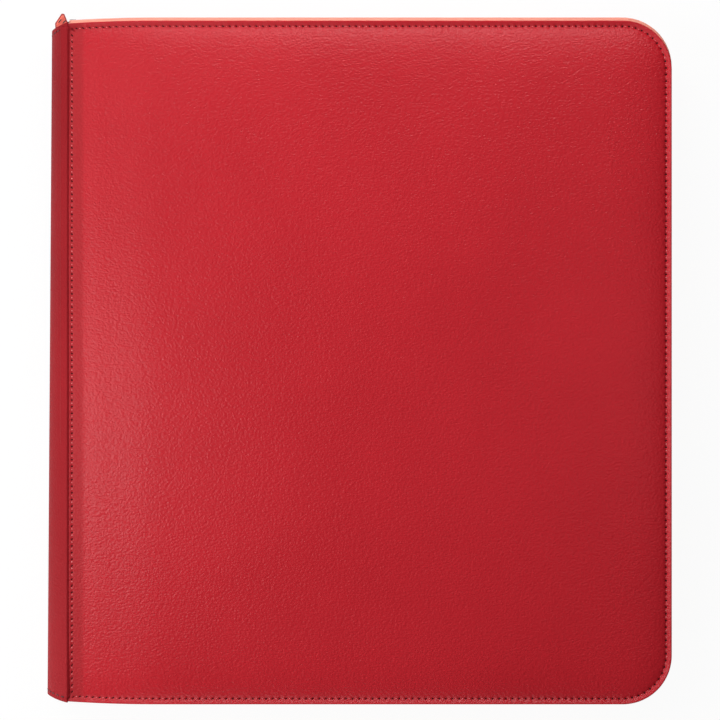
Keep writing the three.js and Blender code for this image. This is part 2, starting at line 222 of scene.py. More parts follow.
# ------------------------------------------------------------------ finishes
@dataclass(frozen=True)
class Leatherette:
    """Pebble-grained red leatherette, with needle holes where a seam map says; the holes and a strip beside the
    spine seam are darkened as painted shade.
    """

    name: str = "red_leatherette"
    deep: tuple = (0.462, 0.0105, 0.0190)
    bright: tuple = (0.487, 0.0115, 0.0205)
    # Painted shade: the near-black colour of the needle holes.
    shaded_hole: tuple = (0.030, 0.002, 0.003)
    hole_radius: float = 0.52
    pucker_reach: float = 1.5
    pitch: float = 3.4
    grain_scale: float = 950.0
    grain_depth: float = 0.00038
    roughness: float = 0.36
    specular: float = 0.26
    seam: bool = True
    # Strength of the painted shade laid on the strip beside the spine seam.
    band: float = 0.30
    crease: float = 0.0

    def make(self) -> bpy.types.Material:
        """Mottled red, a cell grain under fine wrinkles, dimples along the seam, and painted shade in the needle
        holes and on a strip beside the spine seam.
        """
        r = Recipe(self.name)
        mottle = r.noise(18.0, 2.0)
        fine = r.noise(1900.0, 3.0)
        wrinkle = r.noise(980.0, 3.0, (0.6, 1.0, 1.0))
        grain = r.cells(self.grain_scale, "SMOOTH_F1")
        creases = grain.step(0.15, 0.75)
        colour = r.mix(mottle.step(0.3, 0.7), rgba(*self.deep), rgba(*self.bright))
        colour = r.mix(creases * 0.12, colour, rgba(*(0.72 * c for c in self.deep)))
        height = (1.0 - grain) * 0.5 + fine * 0.15 + wrinkle * 0.8
        rough = self.roughness + (mottle - 0.5) * 0.03 + (fine - 0.5) * 0.12
        if self.seam:
            x = r.node("ShaderNodeSeparateXYZ", {}, {0: r.place()})
            # Painted shade: the strip 6.6 to 9.2 mm out from the crease is darkened towards deep red, and made
            # rougher.
            band = (x - self.crease).step(0.0092, 0.0066) * self.band
            colour = r.mix(band, colour, rgba(0.22, 0.004, 0.006))
            rough = rough + band * 0.47
            along, across = r.uv("seam")
            beside = ((along.fraction() - 0.5) * self.pitch).size()
            reach = (beside * beside + across * across).power(0.5)
            shaded_hole = reach.step(self.hole_radius * 1.15, self.hole_radius * 0.55)
            pucker = reach.step(self.pucker_reach, self.hole_radius)
            # Painted shade: the needle holes are coloured near-black.
            colour = r.mix(shaded_hole, colour, rgba(*self.shaded_hole))
            height = height - pucker * 0.5 - shaded_hole * 1.2
            rough = rough + shaded_hole * 0.4
        normal = r.bump(height, self.grain_depth, 0.75)
        return r.finish(Base_Color=colour, Roughness=rough, Normal=normal, Specular_IOR_Level=self.specular)


@dataclass(frozen=True)
class Weave:
    """A plain woven cloth in one colour."""

    name: str
    dark: tuple
    light: tuple
    thread: float = 0.0006
    roughness: float = 0.85
    sheen: float = 0.15

    def make(self) -> bpy.types.Material:
        """Rows of threads along each axis from waves, with fuzzy noise between."""
        r = Recipe(self.name)
        fuzz = r.noise(2600.0, 2.0)
        cloth = fuzz * 0.35
        for axis in "XYZ":
            inputs = {"Vector": r.place(), "Scale": WAVE_PERIOD / self.thread, "Distortion": 0.6, "Detail": 1.0}
            cloth = cloth + r.node("ShaderNodeTexWave", {"bands_direction": axis}, inputs) * 0.35
        worn = r.noise(70.0, 2.0)
        shade = r.mix(cloth.step(0.3, 1.0), rgba(*self.dark), rgba(*self.light))
        shade = r.mix(worn.step(0.45, 0.75) * 0.12, shade, rgba(*self.light))
        normal = r.bump(cloth, 0.00012, 0.6)
        rough = self.roughness + (fuzz - 0.5) * 0.2
        return r.finish(Base_Color=shade, Roughness=rough, Normal=normal, Sheen_Weight=self.sheen)


@dataclass(frozen=True)
class Moulded:
    """A plastic or thread finish with faint mottling and a fine texture."""

    name: str
    dark: tuple
    light: tuple
    roughness: float = 0.4
    grain: float = 1400.0
    depth: float = 0.00003

    def make(self) -> bpy.types.Material:
        """Noise between two close colours, and the same noise as texture."""
        r = Recipe(self.name)
        fine = r.noise(self.grain, 3.0)
        broad = r.noise(60.0, 2.0)
        colour = r.mix(broad.step(0.3, 0.7), rgba(*self.dark), rgba(*self.light))
        rough = self.roughness + (fine - 0.5) * 0.2
        return r.finish(Base_Color=colour, Roughness=rough, Normal=r.bump(fine, self.depth, 0.6))


@dataclass(frozen=True)
class Nickel:
    """Plated zip metal with fine scratches."""

    name: str = "nickel_plate"

    def make(self) -> bpy.types.Material:
        """Bright metal, brushed along one way and scuffed in patches."""
        r = Recipe(self.name)
        brushed = r.noise(900.0, 2.0, (1.0, 14.0, 1.0))
        scuff = r.noise(160.0, 3.0)
        colour = r.mix(scuff.step(0.35, 0.7), rgba(0.60, 0.59, 0.57), rgba(0.74, 0.73, 0.71))
        rough = 0.22 + brushed * 0.16 + scuff * 0.10
        return r.finish(Base_Color=colour, Roughness=rough, Normal=r.bump(brushed, 0.00001, 0.5), Metallic=1.0)


@dataclass(frozen=True)
class ClearFilm:
    """Clear polypropylene film, mostly see-through with a gloss."""

    name: str = "clear_film"

    def make(self) -> bpy.types.Material:
        """A faint milky film with shallow ripples."""
        r = Recipe(self.name)
        ripple = r.noise(45.0, 3.0)
        rough = 0.10 + ripple * 0.12
        normal = r.bump(ripple, 0.0004, 0.35)
        return r.finish(Base_Color=rgba(0.75, 0.77, 0.8), Roughness=rough, Normal=normal, Alpha=0.16)


# ------------------------------------------------------------------ mesh making
@dataclass
class Surface:
    """A grid of points with faces, in millimetres, and a place on the seam map for each point."""

    points: np.ndarray
    faces: list[np.ndarray]
    seam: Optional[np.ndarray] = None

    @staticmethod
    def grid(points: np.ndarray, around: bool, along: bool = False, seam: Optional[np.ndarray] = None) -> "Surface":
        """Quads over a grid of rows and columns.

        Args:
            points: rows x columns x 3.
            around: whether the last column joins the first.
            along: whether the last row joins the first.
            seam: rows x columns x 2.

        Returns:
            The surface.
        """
        rows, columns = points.shape[:2]
        i = np.arange(rows if along else rows - 1)[:, None]
        j = np.arange(columns if around else columns - 1)[None, :]
        below, right = (i + 1) % rows, (j + 1) % columns
        quads = np.stack([i * columns + j, i * columns + right, below * columns + right, below * columns + j], -1)
        flat = None if seam is None else seam.reshape(-1, 2)
        return Surface(points.reshape(-1, 3), [quads.reshape(-1, 4)], flat)

    @staticmethod
    def capped(points: np.ndarray, seam: Optional[np.ndarray] = None) -> "Surface":
        """Rings of points joined in a tube, each end closed by a fan to its middle."""
        rows, columns = points.shape[:2]
        made = Surface.grid(points, True, False, seam)
        count = rows * columns
        ends = np.stack([points[0].mean(axis=0), points[-1].mean(axis=0)])
        made.points = np.vstack([made.points, ends])
        j = np.arange(columns)
        k = (j + 1) % columns
        last = (rows - 1) * columns
        made.faces.append(np.stack([np.full(columns, count), k, j], -1))
        made.faces.append(np.stack([np.full(columns, count + 1), last + j, last + k], -1))
        if made.seam is not None:
            made.seam = np.vstack([made.seam, made.seam[:1], made.seam[-1:]])
        return made

    @staticmethod
    def merged(parts: Sequence["Surface"]) -> "Surface":
        """Several surfaces as one."""
        offset = 0
        faces: list[np.ndarray] = []
        for part in parts:
            faces += [f + offset for f in part.faces]
            offset += len(part.points)
        return Surface(np.vstack([p.points for p in parts]), faces)

    def build(self, name: str, finish: bpy.types.Material, slot: str, smooth: bool = True) -> bpy.types.Object:
        """Make the object, in metres, with its faces turned outwards.

        Args:
            name: the piece's name.
            finish: its material.
            slot: not used.
            smooth: whether its faces are shaded smooth.

        Returns:
            The object, in the scene.
        """
        mesh = bpy.data.meshes.new(name)
        faces = [face for group in self.faces for face in group.tolist()]
        mesh.from_pydata((self.points * MM).tolist(), [], faces)
        work = bmesh.new()
        work.from_mesh(mesh)
        bmesh.ops.recalc_face_normals(work, faces=work.faces)
        work.to_mesh(mesh)
        work.free()
        if self.seam is not None:
            layer = mesh.uv_layers.new(name="seam")
            corner = np.empty(len(mesh.loops), dtype=np.int32)
            mesh.loops.foreach_get("vertex_index", corner)
            layer.data.foreach_set("uv", self.seam[corner].astype(np.float32).ravel())
        mesh.polygons.foreach_set("use_smooth", np.full(len(mesh.polygons), smooth))
        mesh.materials.append(finish)
        made = bpy.data.objects.new(name, mesh)
        bpy.context.scene.collection.objects.link(made)
        return made


def smooth_step(value: np.ndarray) -> np.ndarray:
    """Three squares less two cubes of the value, held between 0 and 1."""
    t = np.clip(value, 0.0, 1.0)
    return t * t * (3.0 - 2.0 * t)


def tube(path: np.ndarray, sideways: np.ndarray, radius: float, sides: int) -> Surface:
    """A round tube along a path: each ring is the path point plus a circle across the path's direction."""
    way = np.gradient(path, axis=0)
    way /= np.linalg.norm(way, axis=1, keepdims=True)
    first = np.cross(way, sideways)
    first /= np.linalg.norm(first, axis=1, keepdims=True)
    second = np.cross(way, first)
    angle = np.arange(sides) * (2 * math.pi / sides)
    ring = np.cos(angle)[None, :, None] * first[:, None] + np.sin(angle)[None, :, None] * second[:, None]
    return Surface.capped(path[:, None] + radius * ring)


def beads(centres: np.ndarray, ways: np.ndarray, ups: np.ndarray, half: tuple, rings: int = 5) -> Surface:
    """Rounded stitches: an ellipsoid of the given half sizes at each centre, along its way and up.

    Each is a few rings between two poles, as a seed of the same grid for every centre.
    """
    sides = 6
    lat = np.linspace(-0.42, 0.42, rings) * math.pi
    lon = np.arange(sides) * (2 * math.pi / sides)
    x = half[0] * np.sin(lat)[:, None] * np.ones(sides)
    y = half[1] * np.cos(lat)[:, None] * np.cos(lon)
    z = half[2] * np.cos(lat)[:, None] * np.sin(lon)
    seed = Surface.capped(np.stack([x, y, z], -1))
    across = np.cross(ups, ways)
    local = seed.points
    points = (
        centres[:, None]
        + local[None, :, 0:1] * ways[:, None]
        + local[None, :, 1:2] * across[:, None]
        + local[None, :, 2:3] * ups[:, None]
    )
    shift = np.arange(len(centres))[:, None, None] * len(local)
    faces = [(face[None] + shift).reshape(-1, face.shape[1]) for face in seed.faces]
    return Surface(points.reshape(-1, 3), faces)


def soft_leaf(edge: np.ndarray, low: float, high: float, fall: float = 6.0) -> Surface:
    """A soft flat form over an outline.

    Rings are the outline shrunk to its middle. The rise off the middle plane is the root of one less a power of the
    ring's share of the outline.

    Args:
        edge: the outline, n x 2.
        low: the lower face's height.
        high: the upper face's height.
        fall: the power; a larger one gives a squarer edge.

    Returns:
        The closed surface, with the outline's plane as X and Y.
    """
    centre = edge.mean(axis=0)
    share = np.sin(np.linspace(0.08, 1.0, 12) * math.pi / 2)
    rings = centre + share[:, None, None] * (edge - centre)
    lift = (high - low) / 2 * np.sqrt(np.clip(1 - share**fall, 0, 1))
    heights = (high + low) / 2 + np.stack([lift, -lift])[..., None, None]
    top, under = (np.concatenate([rings, np.broadcast_to(h, rings.shape[:2] + (1,))], -1) for h in heights)
    return Surface.capped(np.concatenate([top, under[::-1]]))


# ------------------------------------------------------------------ the case's layout
@dataclass
class Layout:
    """Sizes read from the frame, in millimetres."""

    crease: float = 0.0
    fore_edge: float = 0.0
    head: float = 0.0
    thickness: float = 0.0
    corner: float = 25.0
    pull_in: float = 1.5
    pull_in_reach: float = 45.0
    fold_slit: float = 0.15

    def __post_init__(self) -> None:
        """Read the case from the frame's own boxes."""
        low, high = (np.array(corner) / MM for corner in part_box("front_cover_skin"))
        self.crease = float(low[0]) - self.fold_slit
        self.fore_edge = float(high[0])
        self.head = float(high[1])
        self.thickness = float(high[2])

    @property
    def middle(self) -> float:
        """Height of the middle of the case."""
        return self.thickness / 2

    def turned(self, points: np.ndarray, side: Side) -> np.ndarray:
        """Points of the back cover, or their mirror on the front cover."""
        made = points.copy()
        if side is Side.FRONT:
            made[..., 2] = self.thickness - made[..., 2]
        return made

    def turned_way(self, ways: np.ndarray, side: Side) -> np.ndarray:
        """Directions of the back cover, or their mirror on the front cover."""
        made = ways.copy()
        if side is Side.FRONT:
            made[..., 2] = -made[..., 2]
        return made

    def drawn_in(self, points: np.ndarray) -> np.ndarray:
        """The covers' ends are a little shorter near the spine: Y shrinks by the square of the nearness."""
        near = np.clip(1.0 - (points[..., 0] - self.crease) / self.pull_in_reach, 0.0, 1.0)
        made = points.copy()
        made[..., 1] *= 1.0 - near**2 * self.pull_in / self.head
        return made

    def free_edge(self, x: np.ndarray, y: np.ndarray) -> np.ndarray:
        """Distance in from the head, fore edge and foot, round the corners."""
        qx = x - (self.fore_edge - self.corner)
        qy = np.abs(y) - (self.head - self.corner)
        outside = np.where((qx > 0) & (qy > 0), np.hypot(qx, qy), np.maximum(qx, qy))
        return self.corner - outside

    def edge_path(self, inset: float, start: float, end: float, spacing: float) -> tuple[np.ndarray, np.ndarray]:
        """Points at even spacing along the three free edges, from head to foot.

        Args:
            inset: distance inside the edge.
            start: X where the run begins at the head.
            end: X where it ends at the foot.
            spacing: rough distance between points.

        Returns:
            The points and the ways out, both n x 2.
        """
        radius = self.corner - inset
        right, top = self.fore_edge - self.corner, self.head - self.corner
        head, side, foot, arc = right - start, 2 * top, right - end, radius * math.pi / 2
        total = head + side + foot + 2 * arc
        s = np.linspace(0.0, total, max(2, round(total / spacing) + 1))
        t1, t2, t3, t4 = head, head + arc, head + arc + side, head + 2 * arc + side
        quarter = math.pi / 2
        angle = quarter - np.clip((s - t1) / radius, 0, quarter) - np.clip((s - t3) / radius, 0, quarter)
        out = np.stack([np.cos(angle), np.sin(angle)], -1)
        x = np.where(s < t1, start + s, np.where(s > t4, right - (s - t4), right))
        y = np.where(s < t2, top, np.where(s > t3, -top, top - (s - t2)))
        return np.stack([x, y], -1) + radius * out, out


# ------------------------------------------------------------------ covers
@dataclass
class CoverShell:
    """The padded leatherette skin, its foam and the cloth lining of one cover.

    Each is a closed shell over rings of points: the outline at growing insets, then the last outline shrunk to the
    middle. Its height is a formula in the distance from the free edges and from the crease.
    """

    layout: Layout
    side: Side
    lip_face: float = 1.8
    skin_thickness: float = 0.8
    puff: float = 2.6
    edge_seam: float = 2.8
    lip_flare: float = 1.4
    spine_seam: float = 2.2
    spine_band: float = 6.6
    lining_lip: float = 4.0
    lining_rise: float = 1.6
    lining_step: float = 4.4
    lining_slope: float = 1.8
    lining_thickness: float = 0.6
    pad_gap: float = 0.04
    board_level: float = 2.62
    pitch: float = 3.4
    bead_lift: float = 0.14
    bead_half: tuple = (0.5, 0.24, 0.25)
    corner_clear: float = 5.0
    ring_counts: tuple = (210, 26, 230, 26, 210, 230)
    insets: np.ndarray = field(default_factory=lambda: np.array(
        [0.0, 0.25, 0.6, 1.0, 1.4, 1.8, 2.2, 2.5, 2.8, 3.1, 3.4, 3.8, 4.3, 4.9, 5.6, 6.3, 7.0, 7.8, 8.8, 10.0, 11.5,
         13.5, 16.0, 19.0, 23.0]))
    pad_insets: np.ndarray = field(default_factory=lambda: np.array([6.3, 6.6, 7.2, 8.2, 10.0, 13.0, 17.0, 23.0]))
    lining_insets: np.ndarray = field(default_factory=lambda: np.array(
        [1.0, 1.3, 2.0, 3.0, 4.0, 5.0, 5.6, 6.2, 7.0, 9.0, 12.0, 17.0, 23.0]))

    def relief(self, x: np.ndarray, y: np.ndarray) -> np.ndarray:
        """Height of the skin over its lip.

        The pad rises from the edge seam as one less an exponential. By the spine a low band lies between the seam
        and the pad. Both rises multiply. A shallow furrow follows each seam, and a few long sines keep the pad from
        being flat.
        """
        d = self.layout.free_edge(x, y)
        spine = x - self.layout.crease
        inside = np.clip(d - self.edge_seam, 0, None)
        edge = 0.08 * (1 - np.exp(-inside / 0.9)) + 0.92 * (1 - np.exp(-inside / 8.5))
        band = 0.34 + 0.14 * smooth_step((spine - self.spine_band) / 10.0)
        band = band + 0.52 * smooth_step((spine - self.spine_band) / 40.0)
        furrow = 0.07 * np.exp(-(((d - self.edge_seam) / 0.55) ** 2))
        furrow = furrow + 0.10 * np.exp(-(((spine - self.spine_seam) / 0.5) ** 2))
        waves = np.sin(x / 23.0 + 1.3 * np.sin(y / 61.0)) * np.sin(y / 37.0 + 0.8)
        waves = waves + 0.6 * np.sin((x + 0.6 * y) / 15.0 + 2.0) * np.sin(y / 71.0)
        return self.puff * edge * band - furrow + 0.07 * waves * smooth_step((d - 5) / 20)

    def flare(self, x: np.ndarray, y: np.ndarray) -> np.ndarray:
        """Rise of the turned hem outside the edge seam, in proportion to the distance from it."""
        return self.lip_flare * np.clip(1 - self.layout.free_edge(x, y) / self.edge_seam, 0, 1)

    def rings(self, insets: np.ndarray) -> np.ndarray:
        """The outline at each inset: head, corner, fore edge, corner, foot and the spine's side."""
        lay = self.layout
        spine = lay.crease + 0.05
        made = []
        for inset in insets:
            r = lay.corner - inset
            right, top = lay.fore_edge - lay.corner, lay.head - lay.corner
            left = spine + inset
            n = self.ring_counts
            t = [np.arange(k) / k for k in n]
            turn = [math.pi / 2 * (1 - t[1]), -math.pi / 2 * t[3]]
            parts = [
                np.stack([left + (right - left) * t[0], np.full(n[0], top + r)], -1),
                np.stack([right + r * np.cos(turn[0]), top + r * np.sin(turn[0])], -1),
                np.stack([np.full(n[2], right + r), top - 2 * top * t[2]], -1),
                np.stack([right + r * np.cos(turn[1]), -top + r * np.sin(turn[1])], -1),
                np.stack([right - (right - left) * t[4], np.full(n[4], -top - r)], -1),
                np.stack([np.full(n[5], left), -(top + r) + 2 * (top + r) * t[5]], -1),
            ]
            made.append(np.vstack(parts))
        return np.stack(made)

    def spread(self, insets: np.ndarray, steps: int) -> tuple[np.ndarray, np.ndarray]:
        """Rings out from the middle to the edge.

        Returns:
            Points, rows x columns x 2, and each row's inset.
        """
        outer = self.rings(insets[::-1])
        centre = np.array([(self.layout.crease + self.layout.fore_edge) / 2, 0.0])
        share = (np.arange(1, steps) / steps)[:, None, None]
        inner = centre + share * (outer[0] - centre)
        return np.concatenate([inner, outer]), np.concatenate([np.full(steps - 1, 40.0), insets[::-1]])

    def seam_line(self) -> tuple[np.ndarray, np.ndarray]:
        """The sewn line and the length of thread up to each of its points."""
        line = self.rings(np.array([self.edge_seam]))[0]
        line[sum(self.ring_counts[:5]):, 0] = self.layout.crease + self.spine_seam
        steps = np.linalg.norm(np.diff(line, axis=0), axis=1)
        return line, np.concatenate([[0.0], np.cumsum(steps)])

    def seam_map(self, rows: np.ndarray) -> np.ndarray:
        """Place on the seam map: stitches counted along the sewn line, and millimetres off it."""
        along = self.seam_line()[1] / self.pitch
        free = sum(self.ring_counts[:5])
        line = np.full(len(along), self.edge_seam)
        line[free:] = self.spine_seam
        off = rows[:, None] - line[None, :]
        return np.stack([np.broadcast_to(along, off.shape), off], -1)

    def shell(self, upper: Callable, lower: Callable, insets: np.ndarray, steps: int = 26) -> Surface:
        """A closed shell between two height formulas over the rings, rounded at its rim."""
        plan, rows = self.spread(insets, steps)
        x, y = plan[..., 0], plan[..., 1]
        top = np.concatenate([plan, upper(x, y)[..., None]], -1)
        low = np.concatenate([plan, lower(x, y)[..., None]], -1)[::-1]
        seam = np.concatenate([self.seam_map(rows), self.seam_map(rows)[::-1]])
        points = self.layout.drawn_in(np.concatenate([top, low]))
        return Surface.capped(self.layout.turned(points, self.side), seam)

    def rim(self, x: np.ndarray, y: np.ndarray) -> np.ndarray:
        """How far the faces roll in at the very edge."""
        d = np.minimum(self.layout.free_edge(x, y), x - self.layout.crease)
        return 0.35 * np.clip(1 - d / 0.6, 0, 1) ** 2

    def outer_face(self, x: np.ndarray, y: np.ndarray) -> np.ndarray:
        """Height of the skin's outer face."""
        return self.lip_face - self.relief(x, y) - self.flare(x, y) + self.rim(x, y)

    def inner_face(self, x: np.ndarray, y: np.ndarray) -> np.ndarray:
        """Height of the skin's inner face, which leaves the hem's flare to the outer one."""
        return self.lip_face - self.relief(x, y) + self.skin_thickness - self.rim(x, y)

    def pad_face(self, x: np.ndarray, y: np.ndarray) -> np.ndarray:
        """Height of the foam's face, just clear of the skin."""
        return self.lip_face - self.relief(x, y) + self.skin_thickness + self.pad_gap

    def board_face(self, x: np.ndarray, y: np.ndarray) -> np.ndarray:
        """Height of the board's face, where the foam ends."""
        return np.full_like(x, self.board_level)

    def lining_face(self, x: np.ndarray, y: np.ndarray) -> np.ndarray:
        """Height of the lining, which steps up from the lip on to the board."""
        inside = self.layout.free_edge(x, y) - self.lining_step
        return self.lining_lip + self.lining_rise * smooth_step(inside / self.lining_slope)

    def lining_back(self, x: np.ndarray, y: np.ndarray) -> np.ndarray:
        """Height of the lining's hidden face."""
        return self.lining_face(x, y) - self.lining_thickness

    def build(self, leather: Any, foam: Any, lining: Any) -> list[bpy.types.Object]:
        """Make skin, foam and lining, attach them to the cover and hide the CAD parts they replace."""
        name = self.side.value
        skin_shell = self.shell(self.outer_face, self.inner_face, self.insets)
        skin = skin_shell.build(f"{name}_skin", leather, "leatherette")
        pad = self.shell(self.pad_face, self.board_face, self.pad_insets, 14)
        pad_made = pad.build(f"{name}_foam", foam, "foam")
        cloth = self.shell(self.lining_face, self.lining_back, self.lining_insets, 12)
        cloth.seam = None
        cloth_made = cloth.build(f"{name}_lining", lining, "lining")
        for piece, part in ((skin, "skin"), (pad_made, "foam"), (cloth_made, "lining")):
            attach(piece, f"{name}_cover")
            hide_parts(f"{name}_cover_{part}")
        size = (self.layout.fore_edge - self.layout.crease) * MM, 2 * self.layout.head * MM
        return [skin, pad_made, cloth_made]

    def stitches(self, thread: Any) -> bpy.types.Object:
        """The sewing: a bead of thread halfway between each two needle holes."""
        lay = self.layout
        line, run = self.seam_line()
        places = np.arange(1, int(run[-1] / self.pitch)) * self.pitch
        middle = np.stack([np.interp(places, run, line[:, k]) for k in range(2)], -1)
        way = np.stack([np.interp(places + 0.2, run, line[:, k]) for k in range(2)], -1) - middle
        past_spine = middle[:, 0] > lay.crease + self.edge_seam + 0.1
        clear = past_spine | (np.abs(middle[:, 1]) < lay.head - self.corner_clear)
        middle, way = middle[clear], way[clear]
        z = self.lip_face - self.relief(middle[:, 0], middle[:, 1])
        centres = lay.turned(lay.drawn_in(np.column_stack([middle, z + self.bead_lift])), self.side)
        ways = np.column_stack([way, np.zeros(len(way))])
        ways /= np.linalg.norm(ways, axis=1, keepdims=True)
        ups = np.tile([[0.0, 0.0, 1.0]], (len(ways), 1))
        sewn = beads(centres, ways, ups, self.bead_half)
        made = sewn.build(f"{self.side.value}_stitches", thread, "leatherette")
        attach(made, f"{self.side.value}_cover")
        return made


# ------------------------------------------------------------------ spine
@dataclass
class Spine:
    """The bowed spine: skin, lining and the two folds that join it to the covers."""

    layout: Layout
    head_bulge: float = 9.3
    foot_bulge: float = 11.6
    skin_thickness: float = 0.8
    end_inset: float = 0.9
    end_round: float = 3.4
    pressed: float = 0.1
    pressed_to: float = 1.4
    seam_inset: float = 2.4
    stitch_pitch: float = 3.7
    hole_pitch: float = 3.4
    inner_short: float = 9.7
    skin_reach: float = 0.992
    inner_reach: float = 0.93
    fold_room: float = 1.6
    fold_span: float = 3.4
    fold_lift: float = 0.10
    fold_depth: float = 0.45
    fold_half: float = 0.8
    rows: int = 64
    columns: int = 200

    def arc(self, y: np.ndarray, depth: float, reach: float) -> np.ndarray:
        """Arcs through both creases, one for each Y, at a depth under the skin.

        Half the case's thickness and the bulge give the circle: its radius is their squares' sum over twice the
        bulge. Angles run from one crease to the other.
        """
        share = (y + self.layout.head) / (2 * self.layout.head)
        bulge = self.foot_bulge + (self.head_bulge - self.foot_bulge) * share
        half = self.layout.middle
        radius = (half**2 + bulge**2) / (2 * bulge)
        limit = np.arcsin(np.clip(half / radius, 0, 1)) * reach
        limit = np.where(radius < bulge, math.pi - limit, limit)
        t = np.linspace(-1, 1, self.rows)
        angle = t[:, None] * limit[None, :]
        x = self.layout.crease - bulge + radius - (radius - depth) * np.cos(angle)
        z = half + (radius - depth) * np.sin(angle)
        return np.stack([x, np.broadcast_to(y, x.shape), z], -1)

    def sheet(self, depth: float, thickness: float, short: float, reach: float) -> Surface:
        """A closed bowed shell between two depths, with its ends drawn in where the bow is fullest."""
        y = np.linspace(-1, 1, self.columns)
        length = self.layout.head - self.end_inset - short
        flat = np.sign(y) * (1 - (1 - np.abs(y)) ** 1.25) * length
        faces = []
        for d in (depth, depth + thickness):
            points = self.arc(flat, d, reach)
            full = 1 - (np.abs(points[..., 2] - self.layout.middle) / self.layout.middle) ** 2
            pull = 1 - self.end_round * full / self.layout.head * (1.0 if short == 0 else 0.0)
            points[..., 1] *= pull
            faces.append(points)
        around = np.concatenate([faces[0], faces[1][::-1]])
        rings = around.transpose(1, 0, 2)
        halfway = around[:, self.columns // 2]
        steps = np.linalg.norm(np.diff(halfway, axis=0, prepend=halfway[:1]), axis=1)
        along = np.cumsum(steps) / self.hole_pitch
        off = length - np.abs(flat) - self.seam_inset
        seam = np.stack(np.broadcast_arrays(along[None, :], off[:, None]), -1)
        return Surface.capped(rings, seam)

    def build(self, leather: Any, board: Any, lining: Any) -> list[bpy.types.Object]:
        """Make the skin, the board and the lining."""
        outer = self.sheet(0.0, self.skin_thickness, 0.0, self.skin_reach)
        skin = outer.build("spine_cover", leather, "leatherette")
        made = [(skin, "spine_skin")]
        for name, depth, thick, finish, slot in (
            ("spine_stiffener", 1.0, 1.2, board, "board"), ("spine_cloth", 2.5, 0.45, lining, "lining")
        ):
            layer = self.sheet(depth, thick, self.inner_short, self.inner_reach)
            layer.seam = None
            node = "spine_board" if slot == "board" else "spine_lining"
            made.append((layer.build(name, finish, slot), node))
        for piece, node in made:
            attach(piece, "spine")
            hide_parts(node)
        for piece, short in ((skin, 0.0), (made[-1][0], self.inner_short)):
            flat = self.bow_length() * MM, 2 * (self.layout.head - self.end_inset - short) * MM
        for piece, _ in made:
            self.flatten(piece)
        return [piece for piece, _ in made]

    def flatten(self, piece: bpy.types.Object) -> None:
        """Give the piece a mesh of its own; the anchor where the bow would press flat is worked out and not used."""
        anchor = ((self.layout.crease + self.pressed_to) * MM, 0.0, self.layout.middle * MM)
        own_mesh(piece)

    def bow_length(self) -> float:
        """Length of the bow's arc halfway up the spine."""
        line = self.arc(np.array([0.0]), 0.0, 1.0)[:, 0]
        return float(np.linalg.norm(np.diff(line, axis=0), axis=1).sum())

    def end_stitches(self, thread: Any) -> bpy.types.Object:
        """Stitches across both ends of the skin, laid along the bow.

        The bow's angle gives each place, and its tangent and outward normal give each stitch's way.
        """
        half = self.layout.middle
        parts = []
        for end in (-1.0, 1.0):
            y = np.array([end * (self.layout.head - self.end_inset - self.seam_inset)])
            line = self.arc(y, -0.02, self.inner_reach)[:, 0]
            line[:, 1] *= 1 - self.end_round * (1 - (np.abs(line[:, 2] - half) / half) ** 2) / self.layout.head
            length = np.concatenate([[0.0], np.cumsum(np.linalg.norm(np.diff(line, axis=0), axis=1))])
            places = np.arange(self.stitch_pitch / 2, length[-1], self.stitch_pitch)
            centres = np.stack([np.interp(places, length, line[:, k]) for k in range(3)], -1)
            ahead = np.stack([np.interp(places + 0.3, length, line[:, k]) for k in range(3)], -1)
            ways = ahead - centres
            ways /= np.linalg.norm(ways, axis=1, keepdims=True)
            ups = np.cross(ways, np.array([[0.0, 1.0, 0.0]]))
            ups /= np.linalg.norm(ups, axis=1, keepdims=True)
            parts.append(beads(centres, ways, ups, (1.15, 0.34, 0.14)))
        made = Surface.merged(parts).build("spine_end_stitches", thread, "leatherette")
        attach(made, "spine")
        self.flatten(made)
        return made

    def fold(self, side: Side, leather: Any) -> bpy.types.Object:
        """The fold at a crease: a narrow raised strip along the hinge.

        Its line runs along the bow, over the crease and on to the cover's seam. Its section is that line, thickened.
        """
        lay = self.layout
        y = np.linspace(-lay.head + self.fold_room, lay.head - self.fold_room, 240)
        low = self.arc(np.array([0.0]), 0.0, self.skin_reach)[:, 0]
        near = low[np.abs(low[:, 2]) < self.fold_span][:, [0, 2]]
        near = near[np.argsort(-near[:, 1])]
        line = np.vstack([near, [[lay.crease + 0.1, 0.62], [lay.crease + 0.45, 0.86], [lay.crease + 0.95, 1.12]]])
        way = np.gradient(line, axis=0)
        way /= np.linalg.norm(way, axis=1, keepdims=True)
        side_way = np.stack([way[:, 1], -way[:, 0]], -1)
        outer, inner = line + side_way * self.fold_lift, line - side_way * self.fold_depth
        section = np.vstack([outer, inner[::-1]])
        if section[:, 1].mean() > lay.middle:
            section = section[::-1]
        points = np.empty((len(y), len(section), 3))
        points[..., 0] = section[None, :, 0]
        points[..., 1] = y[:, None]
        points[..., 2] = section[None, :, 1]
        made = Surface.capped(lay.turned(lay.drawn_in(points), side))
        piece = made.build(f"{side.value}_fold", leather, "leatherette")
        z = 0.0 if side is Side.BACK else lay.thickness * MM
        spine_end = ((lay.crease - self.fold_half) * MM, 0.0, z)
        cover_end = ((lay.crease + self.fold_half) * MM, 0.0, z)
        if side is Side.BACK:
            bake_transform(piece)
        else:
            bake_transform(piece)
        return piece


